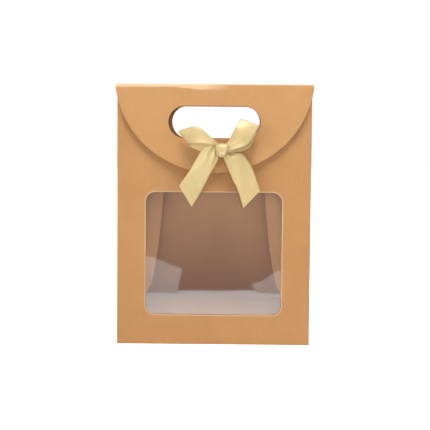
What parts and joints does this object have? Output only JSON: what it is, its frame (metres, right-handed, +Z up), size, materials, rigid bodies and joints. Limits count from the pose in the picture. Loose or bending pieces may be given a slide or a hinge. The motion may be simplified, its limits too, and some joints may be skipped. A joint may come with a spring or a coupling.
{
  "type": "windowed gift box",
  "caption": "Kraft card gift box with folded side gussets, a clear window in the front, a hand hole, and a half-round lid flap that carries a satin ribbon bow.",
  "frame": {"origin": "middle of the bottom, where the box stands", "axes": "+Z up, -Y out of the front with the window and the bow, +X to the right seen from the front"},
  "size_m": [0.1216, 0.0604, 0.1578],
  "materials": {
    "kraft_card": "uncoated brown kraft card with a fine fibre grain",
    "kraft_lid": "the same uncoated brown kraft card, creased over the top",
    "clear_film": "clear glossy film",
    "glue": "soft translucent adhesive pad",
    "satin_ribbon": "champagne-gold satin with a soft sheen"
  },
  "bodies": {
    "box": {"carton": "kraft_card", "window_film": "clear_film"},
    "lid": {"lid_flap": "kraft_lid", "bow_glue_dot": "glue", "ribbon_bow": "satin_ribbon"}
  },
  "joints": [
    {"name": "lid_hinge", "type": "hinge", "parent": "box", "child": "lid", "pos_m": [0, 0.01266, 0.15762], "axis": [-1, 0, 0], "range_deg": [0, 180]}
  ]
}
